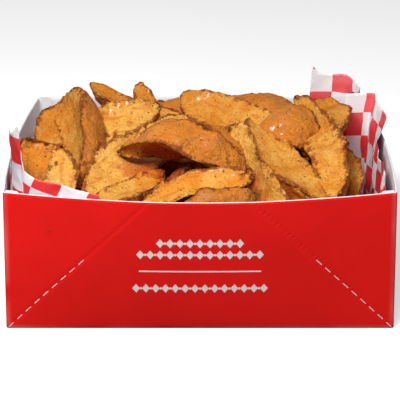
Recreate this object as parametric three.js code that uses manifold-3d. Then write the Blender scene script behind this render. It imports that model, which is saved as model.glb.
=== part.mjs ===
// Potato wedges heaped in an open takeaway carton with a checked paper liner.
// Millimetres, +Z up. The origin is the middle of the carton's flat base, +X to the right of the
// printed front panel and +Y towards its back wall.

import * as THREE from 'three';
import { mergeVertices } from 'three/addons/utils/BufferGeometryUtils.js';
import Module from 'manifold-3d';

// Carton: one folded board, a tray without a lid.
const BASE_WIDTH = 205;
const BASE_DEPTH = 165;
const CARTON_HEIGHT = 77;
const BOARD = 0.8;
const WIDTH_TAPER = 2; // how far each side wall leans in at the rim
const DEPTH_TAPER = 0.5;
const FRONT_BOW = 12.5; // how far each wall's rim bows out at its middle
const BACK_BOW = 3;
const SIDE_BOW = 4;
const BOW_RISE = 0.75; // power of the height in the bow: under 1 it is roundest low down
const CREASE_SHARE = 0.3; // part of the front's bow that folds at the two corner creases
const FRONT_DIP = 1; // how far the front rim sinks at its middle
const WALL_ROWS = 5;
const WIDE_STEPS = 18;
const DEEP_STEPS = 10;

// Liner: one crumpled sheet of thin paper pressed into the carton.
const PAPER = 0.5;
const LINER_GAP = 0.6; // between the board and the paper
const LINER_LIFT = 0.4; // between the carton's floor and the paper
const LINER_FOOT = 7; // rounding between the paper's floor and its walls
const LINER_ROWS = 8;
const ROW_CROWDING = 1.15; // over 1 sets the lower rows closer
const LINER_CORNER = 0.2; // rounding of the back corners, as a share of the half width
const FRONT_CORNER = 0.12; // the same at the front, where the sheet is pushed into the corners
const CORNER_STEPS = 5;
const BETWEEN_STEPS = 14;
const PLEAT_DEPTH = 1.8; // upright crumples
const PLEATS_PER_WALL = 3.5;
const PLEAT_TWIST = 0.035; // radians for each millimetre of height
const PLEAT_FOOT = 30; // height where the crumples reach their full depth
const SLACK_DEPTH = 1; // how far the paper hangs in from the right wall
const SLACK_MIDDLE = 56; // height where it hangs in most
const SLACK_SPREAD = 22;
const SLACK_TURNS = [0.45, 1.6, 0.25]; // start, end and fade of the slack stretch
const FOLD_DEPTH = 16; // the upright fold that stands in from the right wall
const FOLD_TURNS = [1.21, 1.245, 1.42]; // its start, its peak and its end round the carton
const FOLD_RISE = [20, 80]; // heights where it starts and where it is full
const GATHER_DEPTH = 1.6; // how far the gathered paper on the right stands in
const GATHER_TURNS = [0.45, 1.24, 0.06]; // start, end and fade of the gathered stretch
const GATHER_RISE = [4, 20];
const GATHER_LEAN = 0.22; // how far it leans out over the rim there, for each unit of height
const RIM_CLEARANCE = 0.6;
const MIN_EDGE_BAND = 3; // least height of the row at the paper's edge

// Height of the paper's edge going round the carton. A turn of 0 is the middle of the front
// wall, 1 of the right wall, 2 of the back wall and 3 of the left wall, with corners between.
const LINER_EDGE = [
  [0, 58],
  [0.4, 60],
  [0.5, 75],
  [0.62, 77],
  [0.8, 77],
  [0.96, 79],
  [0.975, 91],
  [1.22, 94.5],
  [1.25, 95],
  [1.4, 88],
  [1.5, 92],
  [1.55, 93.5],
  [1.63, 93.5],
  [1.645, 98],
  [1.655, 56],
  [2.3, 54],
  [2.5, 60],
  [2.85, 66],
  [2.95, 76],
  [3.1, 79],
  [3.3, 80],
  [3.4, 84],
  [3.425, 104],
  [3.44, 106],
  [3.5, 107],
  [3.53, 111.5],
  [3.54, 88],
  [3.57, 86],
  [3.64, 81.5],
  [3.73, 76.5],
  [3.8, 60],
  [4, 58],
];

// Heap: the core that fills the liner, and the wedges that show.
const HEAP_GAP = 0.35; // between the paper and the food
const HEAP_TOP = 130; // above every wedge
const CORE_WIDTH = 174;
const CORE_DEPTH = 150;
const CORE_STEPS = 32;
const CORE_SQUARENESS = 0.5; // 1 is an ellipse, less is squarer
const CORE_CROWN = 65;
// Heights up the core, each with its size there as a share of its full width and depth.
const CORE_LEVELS = [
  [3, 0.94],
  [9, 1],
  [47, 1],
  [57, 0.88],
  [63, 0.6],
];

// Section of a wedge: two cut faces that meet in a ridge, and a round of skin.
const WEDGE_STATIONS = [-0.94, -0.72, -0.38, 0, 0.38, 0.72, 0.94];
const WEDGE_FULLNESS = 2.1; // of an ordinary end: higher keeps it blunter
const TIP_TAPER = 0.62; // over 0.5 makes the ends pointed
const RIDGE_DEPTH = 0.5; // ridge below the wedge's middle line, as a share of the radius
const RIDGE_RISE = 0.22; // rise of the ridge towards the ends
const TWIST_AXIS = 0.6; // distance of the line it twists about from the ridge, in radii
const FACE_HOLLOW = 0.07; // shrinkage of the cut faces, as a share of the radius

const wasm = await Module();
wasm.setup();

// A closed mesh from stacked rings of equal length, counter-clockwise from above on the way up,
// with a middle point closing each end.
function loftGeometry(rings, firstMiddle, lastMiddle) {
  const count = rings[0].length;
  const points = [...rings.flat(), firstMiddle, lastMiddle];
  const first = points.length - 2;
  const last = points.length - 1;
  const top = (rings.length - 1) * count;
  const faces = [];
  for (let column = 0; column < count; column += 1) {
    const next = (column + 1) % count;
    faces.push(first, next, column);
    faces.push(last, top + column, top + next);
    for (let row = 0; row < rings.length - 1; row += 1) {
      const here = row * count;
      const above = here + count;
      faces.push(here + column, here + next, above + next);
      faces.push(here + column, above + next, above + column);
    }
  }
  const geometry = new THREE.BufferGeometry();
  geometry.setAttribute('position', new THREE.Float32BufferAttribute(points.flat(), 3));
  geometry.setIndex(faces);
  return geometry;
}

function toSolid(geometry) {
  geometry.deleteAttribute('normal');
  geometry.deleteAttribute('uv');
  const merged = mergeVertices(geometry, 1e-5);
  return new wasm.Manifold(new wasm.Mesh({
    numProp: 3,
    vertProperties: new Float32Array(merged.attributes.position.array),
    triVerts: new Uint32Array(merged.index.array),
  }));
}

function fromSolid(solid) {
  const mesh = solid.getMesh();
  const geometry = new THREE.BufferGeometry();
  geometry.setAttribute('position', new THREE.BufferAttribute(mesh.vertProperties, 3));
  geometry.setIndex(new THREE.BufferAttribute(mesh.triVerts, 1));
  return geometry;
}

function namedMesh(name, geometry, material) {
  geometry.computeVertexNormals();
  const mesh = new THREE.Mesh(geometry, material);
  mesh.name = name;
  return mesh;
}

// Value at a place in a list of [place, value] pairs, straight between them.
function readAlong(pairs, place) {
  const index = pairs.findIndex(([end]) => end >= place);
  if (index <= 0) return pairs[0][1];
  const [startPlace, startValue] = pairs[index - 1];
  const [endPlace, endValue] = pairs[index];
  const share = (place - startPlace) / (endPlace - startPlace);
  return THREE.MathUtils.lerp(startValue, endValue, share);
}

// ---------------------------------------------------------------- the carton's inside

function riseAt(z) {
  return THREE.MathUtils.clamp(z / CARTON_HEIGHT, 0, 1);
}

// The front panel bulges, and folds a little at the creases that run up from its lower corners.
function frontBow(across, z) {
  const rise = riseAt(z);
  const bulge = (1 - across * across) * rise ** BOW_RISE;
  const fromCorner = (BASE_WIDTH / 2) * (1 - Math.abs(across));
  const facet = Math.min(fromCorner / CARTON_HEIGHT, rise);
  return FRONT_BOW * ((1 - CREASE_SHARE) * bulge + CREASE_SHARE * facet);
}

function plainBow(along, z, amount) {
  return amount * (1 - along * along) * riseAt(z) ** BOW_RISE;
}

// A point at height z in the carton. across and deep run from -1 to 1 between opposite walls,
// and inset is measured in from the walls' outer faces.
function insidePoint(across, deep, z, inset) {
  const halfWidth = BASE_WIDTH / 2 - WIDTH_TAPER * riseAt(z) - inset;
  const halfDepth = BASE_DEPTH / 2 - DEPTH_TAPER * riseAt(z) - inset;
  const front = Math.max(0, -deep) * frontBow(across, z);
  const back = Math.max(0, deep) * plainBow(across, z, BACK_BOW);
  return new THREE.Vector3(
    across * (halfWidth + plainBow(deep, z, SIDE_BOW)),
    deep * halfDepth - front + back,
    z,
  );
}

// ---------------------------------------------------------------- carton

// The four walls in turn as [across, deep] pairs, counter-clockwise from the front left corner.
function squareOutline() {
  const outline = [];
  const addWall = (steps, place) => {
    for (let i = 0; i < steps; i += 1) outline.push(place(-1 + (2 * i) / steps));
  };
  addWall(WIDE_STEPS, (along) => [along, -1]);
  addWall(DEEP_STEPS, (along) => [1, along]);
  addWall(WIDE_STEPS, (along) => [-along, 1]);
  addWall(DEEP_STEPS, (along) => [-1, -along]);
  return outline;
}

function cartonRing(z, inset) {
  return squareOutline().map(([across, deep]) => {
    const point = insidePoint(across, deep, z, inset);
    const dip = deep === -1 ? FRONT_DIP * (1 - across * across) * riseAt(z) : 0;
    return [point.x, point.y, z - dip];
  });
}

function cartonGeometry() {
  const rings = [];
  for (let row = 0; row <= WALL_ROWS; row += 1) {
    rings.push(cartonRing((CARTON_HEIGHT * row) / WALL_ROWS, 0));
  }
  for (let row = WALL_ROWS; row >= 0; row -= 1) {
    const z = THREE.MathUtils.lerp(BOARD, CARTON_HEIGHT, row / WALL_ROWS);
    rings.push(cartonRing(z, BOARD));
  }
  return loftGeometry(rings, [0, 0, 0], [0, 0, BOARD]);
}

// ---------------------------------------------------------------- liner

// The paper's outline as [across, deep] pairs: the carton's square with round corners.
function roundedOutline() {
  const corners = [
    { across: 1, deep: -1, radius: FRONT_CORNER },
    { across: 1, deep: 1, radius: LINER_CORNER },
    { across: -1, deep: 1, radius: LINER_CORNER },
    { across: -1, deep: -1, radius: FRONT_CORNER },
  ];
  const arcs = corners.map(({ across, deep, radius }, index) => {
    const x = across * (1 - radius);
    const y = deep * (1 - radius);
    const start = (index - 1) * (Math.PI / 2);
    const curve = new THREE.EllipseCurve(x, y, radius, radius, start, start + Math.PI / 2);
    return curve.getPoints(CORNER_STEPS);
  });
  return arcs.flatMap((arc, index) => {
    const start = arc[arc.length - 1];
    const end = arcs[(index + 1) % arcs.length][0];
    const wall = new THREE.LineCurve(start, end).getPoints(BETWEEN_STEPS).slice(1, -1);
    return [...arc, ...wall].map((point) => [point.x, point.y]);
  });
}

// Place round the carton as a turn from 0 to 4, the corners at the halves.
function turnOf(across, deep) {
  if (Math.abs(across) > Math.abs(deep)) {
    return across > 0 ? 1 + deep / (2 * across) : 3 + deep / (2 * across);
  }
  if (deep > 0) return 2 - across / (2 * deep);
  return (4 - across / (2 * deep)) % 4;
}

// 1 well inside a stretch of turns, falling to 0 at its ends.
function stretchShare(turn, [start, end, fade]) {
  const rising = THREE.MathUtils.smoothstep(turn, start, start + fade);
  return rising * (1 - THREE.MathUtils.smoothstep(turn, end - fade, end));
}

// How far the paper stands in from the board: crumples all round, the foot where wall and floor
// meet, and on the right the slack, the fold and the gathers, which lean out over the rim.
function linerInset(turn, z) {
  const swing = 2 * Math.PI * PLEATS_PER_WALL * turn + PLEAT_TWIST * z;
  const depth = PLEAT_DEPTH * THREE.MathUtils.smoothstep(z, 0, PLEAT_FOOT);
  const pleat = depth * (0.5 - 0.5 * Math.cos(swing));
  const slack = Math.exp(-(((z - SLACK_MIDDLE) / SLACK_SPREAD) ** 2));
  const lean = SLACK_DEPTH * slack * stretchShare(turn, SLACK_TURNS);
  const low = THREE.MathUtils.clamp(1 - z / LINER_FOOT, 0, 1);
  const foot = LINER_FOOT * (1 - Math.sqrt(1 - low * low));
  const [start, peak, end] = FOLD_TURNS;
  const nearFold = Math.min((turn - start) / (peak - start), (end - turn) / (end - peak));
  const fold = FOLD_DEPTH * Math.max(0, nearFold) * THREE.MathUtils.smoothstep(z, ...FOLD_RISE);
  const gatherRise = THREE.MathUtils.smoothstep(z, ...GATHER_RISE);
  const overRim = GATHER_LEAN * Math.max(0, z - CARTON_HEIGHT);
  const gather = (GATHER_DEPTH * gatherRise - overRim) * stretchShare(turn, GATHER_TURNS);
  return pleat + lean + foot + fold + gather;
}

// Heights of the rows up one upright line of the paper, one of them level with the rim.
function linerRows(turn) {
  const bottom = BOARD + LINER_LIFT;
  const edge = readAlong(LINER_EDGE, turn);
  const rim = Math.min(CARTON_HEIGHT + RIM_CLEARANCE, edge - MIN_EDGE_BAND);
  const rows = [];
  for (let row = 0; row < LINER_ROWS; row += 1) {
    rows.push(THREE.MathUtils.lerp(bottom, rim, (row / (LINER_ROWS - 1)) ** ROW_CROWDING));
  }
  return [...rows, edge];
}

// The rings of the paper's outer face moved in by an offset. The rows of every ring follow the
// same upright lines, so two offsets keep the same gap everywhere.
function linerRings(offset, rowsOf) {
  const outline = roundedOutline();
  const columns = outline.map(([across, deep]) => {
    const turn = turnOf(across, deep);
    return rowsOf(turn).map((z) => {
      const inset = BOARD + LINER_GAP + linerInset(turn, z);
      return insidePoint(across, deep, z, inset);
    });
  });
  return columns[0].map((_, row) => columns.map((column, index) => {
    const before = columns.at(index - 1)[row];
    const after = columns[(index + 1) % columns.length][row];
    const along = after.clone().sub(before).setZ(0).normalize();
    const inward = new THREE.Vector3(-along.y, along.x, 0);
    return column[row].clone().addScaledVector(inward, offset).toArray();
  }));
}

// The sheet as a closed cup, grown by a margin on every side.
function linerGeometry(margin) {
  const rows = (turn) => {
    const own = linerRows(turn);
    return [...own.slice(0, -1), own.at(-1) + margin];
  };
  const outer = linerRings(-margin, rows);
  const inner = linerRings(PAPER + margin, rows);
  const under = BOARD + LINER_LIFT - margin;
  const over = BOARD + LINER_LIFT + PAPER + margin;
  outer[0] = outer[0].map(([x, y]) => [x, y, under]);
  inner[0] = inner[0].map(([x, y]) => [x, y, over]);
  return loftGeometry([...outer, ...inner.reverse()], [0, 0, under], [0, 0, over]);
}

// ---------------------------------------------------------------- heap of wedges

// The room inside the paper, carried on upwards past its edge.
function heapRoom() {
  const rows = (turn) => {
    const below = linerRows(turn);
    const edge = below.at(-1);
    const rim = Math.max(CARTON_HEIGHT + RIM_CLEARANCE, edge + 2 * MIN_EDGE_BAND);
    return [...below, (edge + rim) / 2, rim, HEAP_TOP];
  };
  const rings = linerRings(PAPER + HEAP_GAP, rows);
  const bottom = BOARD + LINER_LIFT + PAPER + HEAP_GAP;
  rings[0] = rings[0].map(([x, y]) => [x, y, bottom]);
  return toSolid(loftGeometry(rings, [0, 0, bottom], [0, 0, HEAP_TOP]));
}

// A low loaf a little smaller than the room, with round corners.
function heapCore() {
  const rings = CORE_LEVELS.map(([z, share]) => {
    const ring = [];
    for (let step = 0; step < CORE_STEPS; step += 1) {
      const angle = (2 * Math.PI * step) / CORE_STEPS;
      const across = Math.sign(Math.cos(angle)) * Math.abs(Math.cos(angle)) ** CORE_SQUARENESS;
      const deep = Math.sign(Math.sin(angle)) * Math.abs(Math.sin(angle)) ** CORE_SQUARENESS;
      ring.push([(across * share * CORE_WIDTH) / 2, (deep * share * CORE_DEPTH) / 2, z]);
    }
    return ring;
  });
  return toSolid(loftGeometry(rings, [0, 0, CORE_LEVELS[0][0]], [0, 0, CORE_CROWN]));
}

// One wedge between two end points. roll turns its skin about its length, 0 with the skin up, and
// turn is how much the roll grows from one end to the other. bend arches the wedge towards its
// skin, and blunt is the fullness of each end.
function wedgeGeometry({ from, to, radius, angle, roll, bend = 0, turn = 0, blunt = [] }) {
  const start = new THREE.Vector3(...from);
  const end = new THREE.Vector3(...to);
  const middle = start.clone().add(end).multiplyScalar(0.5);
  const halfLength = start.distanceTo(end) / 2;
  const along = end.clone().sub(start).normalize();
  const up = new THREE.Vector3(0, 0, 1);
  up.addScaledVector(along, -up.dot(along)).normalize();
  const skinward = up.clone().applyAxisAngle(along, THREE.MathUtils.degToRad(-roll));
  const sideways = skinward.clone().cross(along);

  const place = (station, across, out) => {
    const arch = 1 - station * station;
    const ridge = radius * (RIDGE_RISE * Math.abs(station) ** 3 - RIDGE_DEPTH);
    return middle.clone()
      .addScaledVector(along, station * halfLength)
      .addScaledVector(sideways, across)
      .addScaledVector(skinward, out + ridge + bend * arch)
      .toArray();
  };

  const half = THREE.MathUtils.degToRad(angle) / 2;
  const hollowAcross = Math.sin(half) / 2 - FACE_HOLLOW * Math.cos(half);
  const hollowOut = Math.cos(half) / 2 + FACE_HOLLOW * Math.sin(half);
  const section = [[0, 0], [hollowAcross, hollowOut]];
  for (const share of [1, 0.5, 0, -0.5, -1]) {
    section.push([Math.sin(share * half), Math.cos(share * half)]);
  }
  section.push([-hollowAcross, hollowOut]);

  const [startFullness = WEDGE_FULLNESS, endFullness = WEDGE_FULLNESS] = blunt;
  const rings = WEDGE_STATIONS.map((station) => {
    const fullness = station < 0 ? startFullness : endFullness;
    const girth = radius * (1 - Math.abs(station) ** fullness) ** TIP_TAPER;
    const twist = (THREE.MathUtils.degToRad(turn) / 2) * station;
    return section.map(([across, out]) => {
      const raised = out - TWIST_AXIS;
      const turnedAcross = across * Math.cos(twist) + raised * Math.sin(twist);
      const turnedOut = raised * Math.cos(twist) - across * Math.sin(twist) + TWIST_AXIS;
      return place(station, turnedAcross * girth, turnedOut * girth);
    });
  });
  return loftGeometry(rings, place(-1, 0, 0), place(1, 0, 0));
}

// The wedges of the top layer by their end points: first those at the front and middle, then the
// back row and the ones that show in the gaps between others.
const WEDGES = [
  { from: [-76, 30, 92], to: [-60, -54, 73], radius: 26, angle: 76, roll: 66, bend: 3 },
  { from: [-90, -42, 90], to: [-88, -76, 54], radius: 22, angle: 80, roll: 146, blunt: [9, 2] },
  { from: [-72, -44, 86], to: [-76, -88, 56], radius: 16, angle: 66, roll: 128 },
  { from: [2, 20, 82], to: [-62, -78, 66], radius: 30, angle: 70, roll: -102 },
  { from: [-43, -44, 90], to: [27, -56, 79], radius: 22, angle: 60, roll: -28, bend: 8, turn: -40 },
  { from: [-56, -80, 66], to: [-17, -58, 76], radius: 18, angle: 66, roll: -136 },
  { from: [-32, -76, 62], to: [2, -48, 80], radius: 17, angle: 70, roll: -100 },
  { from: [-31, -82, 67], to: [25, -64, 78], radius: 19, angle: 72, roll: 100 },
  { from: [-14, -88, 62], to: [29, -78, 75], radius: 16, angle: 66, roll: -60 },
  { from: [20, -8, 84], to: [46, -84, 58], radius: 25, angle: 74, roll: 184 },
  { from: [27, 4, 86], to: [64, -80, 64], radius: 21, angle: 70, roll: -124 },
  { from: [61, 34, 91], to: [72, -74, 69], radius: 19, angle: 76, roll: 104, blunt: [2.1, 4] },
  { from: [81, -6, 75], to: [79, -66, 56], radius: 15, angle: 70, roll: 120 },
  { from: [-70, 40, 88], to: [-90, -22, 72], radius: 20, angle: 76, roll: -104 },
  { from: [-10, 26, 91], to: [43, -9, 84], radius: 24, angle: 74, roll: -166 },
  { from: [14, 44, 89], to: [60, -22, 80], radius: 26, angle: 74, roll: -14, blunt: [2.1, 4] },
  { from: [70, 44, 86], to: [83, 8, 80], radius: 15, angle: 70, roll: 108 },
  { from: [-67, 56, 91], to: [-32, 40, 78], radius: 15, angle: 72, roll: -140 },
  { from: [-38, 56, 92], to: [-24, 30, 70], radius: 14, angle: 72, roll: -130 },
  { from: [-28, 44, 80], to: [6, 34, 78], radius: 18, angle: 66, roll: -20 },
  { from: [-64, 4, 84], to: [-22, 2, 90], radius: 24, angle: 72, roll: -164 },
  { from: [-66, 36, 82], to: [-54, -26, 74], radius: 24, angle: 66, roll: 120 },
  { from: [-46, 26, 85], to: [-6, 8, 80], radius: 19, angle: 70, roll: 86 },
  { from: [2, 8, 78], to: [30, -34, 74], radius: 22, angle: 70, roll: 30 },
  { from: [-88, 26, 58], to: [-60, 66, 62], radius: 26, angle: 72, roll: 40 },
  { from: [-60, 66, 56], to: [0, 62, 62], radius: 25, angle: 72, roll: -50 },
  { from: [2, 66, 62], to: [60, 62, 58], radius: 26, angle: 72, roll: 50 },
  { from: [14, 54, 68], to: [66, 48, 64], radius: 25, angle: 70, roll: -60 },
  { from: [76, 64, 56], to: [75, 14, 60], radius: 24, angle: 72, roll: 30 },
  { from: [-90, -4, 56], to: [-84, 46, 56], radius: 24, angle: 70, roll: -60 },
  { from: [78, -24, 54], to: [80, -76, 50], radius: 24, angle: 70, roll: 20 },
  { from: [-30, -10, 66], to: [26, -30, 62], radius: 26, angle: 74, roll: 10 },
  { from: [-90, -38, 54], to: [-40, -72, 50], radius: 26, angle: 74, roll: 10 },
  { from: [-20, -80, 42], to: [50, -76, 46], radius: 26, angle: 74, roll: 170 },
  { from: [20, 10, 62], to: [70, 30, 60], radius: 26, angle: 74, roll: 40 },
  { from: [-66, 4, 62], to: [-20, 46, 60], radius: 26, angle: 74, roll: -40 },
];

// Core and wedges fused and cut to the room in the paper. Of what the cut leaves, the one large
// body is the heap: the rest are loose scraps and sealed hollows.
function heapGeometry() {
  const wedges = WEDGES.map((wedge) => toSolid(wedgeGeometry(wedge)));
  const paper = toSolid(linerGeometry(HEAP_GAP));
  const fused = wedges.reduce((sum, wedge) => sum.add(wedge), heapCore());
  const bodies = fused.intersect(heapRoom()).subtract(paper).decompose();
  bodies.sort((a, b) => b.volume() - a.volume());
  return fromSolid(bodies[0]);
}

// ---------------------------------------------------------------- assembly

const redBoard = new THREE.MeshStandardMaterial({ color: 0xd6201f, roughness: 0.5, metalness: 0 });
const checkedPaper = new THREE.MeshStandardMaterial({ color: 0xe8b4b2, roughness: 0.6, metalness: 0 });
const friedPotato = new THREE.MeshStandardMaterial({ color: 0xc47a22, roughness: 0.55, metalness: 0 });

const part = new THREE.Group();
part.add(namedMesh('carton', cartonGeometry(), redBoard));
part.add(namedMesh('liner', linerGeometry(0), checkedPaper));
part.add(namedMesh('wedge_heap', heapGeometry(), friedPotato));

export default part;
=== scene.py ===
"""Potato wedges heaped in an open takeaway carton on a checked paper liner.

Metres, +Z up, the origin in the middle of the carton's base, +X to the right of the printed
front panel and +Y towards its back wall.
"""
import math
import random

import bpy
import numpy as np
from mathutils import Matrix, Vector


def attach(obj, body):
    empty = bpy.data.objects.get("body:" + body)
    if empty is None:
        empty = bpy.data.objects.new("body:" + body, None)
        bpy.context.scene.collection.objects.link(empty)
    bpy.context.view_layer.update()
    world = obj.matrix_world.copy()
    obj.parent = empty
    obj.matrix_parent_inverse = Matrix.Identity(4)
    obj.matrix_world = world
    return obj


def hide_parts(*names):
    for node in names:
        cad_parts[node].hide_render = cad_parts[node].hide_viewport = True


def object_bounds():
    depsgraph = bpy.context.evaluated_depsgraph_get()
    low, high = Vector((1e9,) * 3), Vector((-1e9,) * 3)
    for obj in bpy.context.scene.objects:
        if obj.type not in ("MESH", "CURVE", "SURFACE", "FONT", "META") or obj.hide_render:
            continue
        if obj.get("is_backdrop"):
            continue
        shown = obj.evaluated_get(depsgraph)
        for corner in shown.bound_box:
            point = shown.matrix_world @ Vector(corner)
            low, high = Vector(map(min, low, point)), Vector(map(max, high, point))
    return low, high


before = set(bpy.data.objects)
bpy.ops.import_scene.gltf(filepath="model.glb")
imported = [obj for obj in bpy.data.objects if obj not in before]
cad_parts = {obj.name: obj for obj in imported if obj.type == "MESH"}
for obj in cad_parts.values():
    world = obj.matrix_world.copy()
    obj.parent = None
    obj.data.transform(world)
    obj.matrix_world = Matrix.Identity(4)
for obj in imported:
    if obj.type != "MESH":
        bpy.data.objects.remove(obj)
cad_low, cad_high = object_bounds()


# ---------------------------------------------------------------- carton
# One blank of solid board, white inside and coated red outside, creased, folded up into a tray
# and held by a narrow glue flap behind each end of the front and back panels. The heap pushes
# the panels out, the front one most.

BASE_WIDTH = 0.205
BASE_DEPTH = 0.165
CARTON_HEIGHT = 0.077
BOARD = 0.0008
WIDTH_TAPER = 0.002
DEPTH_TAPER = 0.0005
FRONT_BOW = 0.0125
BACK_BOW = 0.003
SIDE_BOW = 0.004
BOW_RISE = 0.75
CREASE_SHARE = 0.3
FRONT_DIP = 0.001
FOLD_ROUND = 0.011  # rounding of the upright creases, as a share of the half width
BASE_ROUND = 0.0009
CREASE_START = 0.0004  # distance of a slanting crease's foot from the corner
CREASE_HALF = 0.0016
PANEL_STEPS = 96
PANEL_ROWS = 48
COATING_RED = (0.80, 0.011, 0.009, 1)
COATING_WORN = (0.85, 0.42, 0.40, 1)
BOARD_WHITE = (0.80, 0.79, 0.80, 1)
BOARD_GREY = (0.74, 0.72, 0.75, 1)


def rise_at(z):
    return np.clip(z / CARTON_HEIGHT, 0.0, 1.0)


def front_bow(across, z):
    rise = rise_at(z)
    bulge = (1 - across**2) * rise**BOW_RISE
    from_corner = BASE_WIDTH / 2 * (1 - np.abs(across))
    facet = np.minimum(from_corner / CARTON_HEIGHT, rise)
    return FRONT_BOW * ((1 - CREASE_SHARE) * bulge + CREASE_SHARE * facet)


def plain_bow(along, z, amount):
    return amount * (1 - along**2) * rise_at(z) ** BOW_RISE


def inside_point(across, deep, z, inset):
    """Points in the carton: across and deep run from -1 to 1 between walls, inset goes inwards."""
    half_width = BASE_WIDTH / 2 - WIDTH_TAPER * rise_at(z) - inset
    half_depth = BASE_DEPTH / 2 - DEPTH_TAPER * rise_at(z) - inset
    front = np.maximum(0, -deep) * front_bow(across, z)
    back = np.maximum(0, deep) * plain_bow(across, z, BACK_BOW)
    x = across * (half_width + plain_bow(deep, z, SIDE_BOW))
    y = deep * half_depth - front + back
    return np.stack([x, y, np.broadcast_to(z, x.shape)], axis=-1)


def square_point(turn):
    """A turn round the walls as across and deep: 0 is the middle of the front, 1 of the right."""
    wall = np.floor(turn + 0.5)
    along = 2 * (turn - wall)
    one = np.ones_like(along)
    side = wall.astype(int) % 4
    across = np.choose(side, [along, one, -along, -one])
    deep = np.choose(side, [-one, along, one, -along])
    return across, deep


def rounded_point(turn, radius):
    """The same on a square with round corners, kept on the line from the middle."""
    across, deep = square_point(turn)
    middle_across = (1 - radius) * np.sign(across)
    middle_deep = (1 - radius) * np.sign(deep)
    towards = across * middle_across + deep * middle_deep
    size = across**2 + deep**2
    room = towards**2 - size * (middle_across**2 + middle_deep**2 - radius**2)
    scale = (towards + np.sqrt(np.maximum(room, 0))) / size
    in_corner = np.minimum(np.abs(across), np.abs(deep)) > 1 - radius
    scale = np.where(in_corner, scale, 1.0)
    return across * scale, deep * scale


def loft(rings, first_middle, last_middle):
    """Points and faces of a tube of rings, counter-clockwise on the way up, with closed ends."""
    count = len(rings[0])
    points = np.concatenate([*rings, [first_middle, last_middle]])
    here = np.arange(count)
    after = (here + 1) % count
    faces = []
    for row in range(len(rings) - 1):
        low = row * count
        high = low + count
        faces += np.stack([low + here, low + after, high + after, high + here], 1).tolist()
    top = (len(rings) - 1) * count
    first = len(points) - 2
    last = len(points) - 1
    faces += [[first, int(b), int(a)] for a, b in zip(here, after)]
    faces += [[last, int(top + a), int(top + b)] for a, b in zip(here, after)]
    return points, faces


def make_piece(name, points, faces, materials, face_material=None, smooth=True):
    mesh = bpy.data.meshes.new(name)
    mesh.from_pydata([tuple(map(float, point)) for point in points], [], faces)
    for material in materials:
        mesh.materials.append(material)
    if face_material is not None:
        mesh.polygons.foreach_set("material_index", np.array(face_material, np.int32))
    mesh.polygons.foreach_set("use_smooth", np.full(len(mesh.polygons), smooth))
    mesh.update()
    piece = bpy.data.objects.new(name, mesh)
    bpy.context.scene.collection.objects.link(piece)
    return piece


def mesh_points(mesh):
    points = np.zeros(len(mesh.vertices) * 3)
    mesh.vertices.foreach_get("co", points)
    return points.reshape(-1, 3)


def write_attribute(piece, name, values):
    """A number, or a vector of three, for each point of a piece."""
    values = np.asarray(values, np.float32)
    kind = "FLOAT" if values.ndim == 1 else "FLOAT_VECTOR"
    layer = piece.data.attributes.new(name, kind, "POINT")
    layer.data.foreach_set("value" if values.ndim == 1 else "vector", values.ravel())


def finish_piece(piece, slot, *nodes):
    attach(piece, "root")
    if nodes:
        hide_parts(*nodes)


class Shader:
    """A material's node tree with short calls for adding and linking nodes."""

    def __init__(self, tree):
        self.tree = tree

    def add(self, kind, links=None, values=None, **settings):
        node = self.tree.nodes.new(kind)
        for key, value in settings.items():
            setattr(node, key, value)
        for socket, value in (values or {}).items():
            node.inputs[socket].default_value = value
        for socket, source in (links or {}).items():
            self.tree.links.new(source, node.inputs[socket])
        return node

    def math(self, operation, first, second=0.0, clamp=False):
        node = self.add("ShaderNodeMath", operation=operation, use_clamp=clamp)
        for index, value in enumerate((first, second)):
            if isinstance(value, (int, float)):
                node.inputs[index].default_value = value
            else:
                self.tree.links.new(value, node.inputs[index])
        return node.outputs[0]

    def mix(self, share, first, second, blend="MIX"):
        node = self.add("ShaderNodeMix", data_type="RGBA", blend_type=blend)
        for index, value in ((0, share), (6, first), (7, second)):
            if isinstance(value, (int, float, tuple)):
                node.inputs[index].default_value = value
            else:
                self.tree.links.new(value, node.inputs[index])
        return node.outputs[2]

    def spread(self, value, low, high, to_low=0.0, to_high=1.0):
        node = self.add(
            "ShaderNodeMapRange",
            {"Value": value},
            {"From Min": low, "From Max": high, "To Min": to_low, "To Max": to_high},
        )
        return node.outputs["Result"]

    def noise(self, place, scale, detail=3.0, rough=0.55, distortion=0.0):
        node = self.add(
            "ShaderNodeTexNoise",
            {"Vector": place},
            {"Scale": scale, "Detail": detail, "Roughness": rough, "Distortion": distortion},
        )
        return node.outputs["Fac"]

    def attribute(self, name):
        return self.add("ShaderNodeAttribute", attribute_name=name)

    def bump(self, height, distance):
        node = self.add("ShaderNodeBump", {"Height": height}, {"Distance": distance})
        return node.outputs["Normal"]

    def dim(self, color, level):
        grey = self.add("ShaderNodeCombineColor", {"Red": level, "Green": level, "Blue": level})
        return self.mix(1.0, color, grey.outputs[0], "MULTIPLY")


def new_material(name, **values):
    """A material with a Principled shader. Values go straight on the shader's sockets."""
    material = bpy.data.materials.new(name)
    material.use_nodes = True
    shader = Shader(material.node_tree)
    surface = material.node_tree.nodes["Principled BSDF"]
    for socket, value in values.items():
        surface.inputs[socket.replace("_", " ")].default_value = value
    return material, shader, surface


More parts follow.
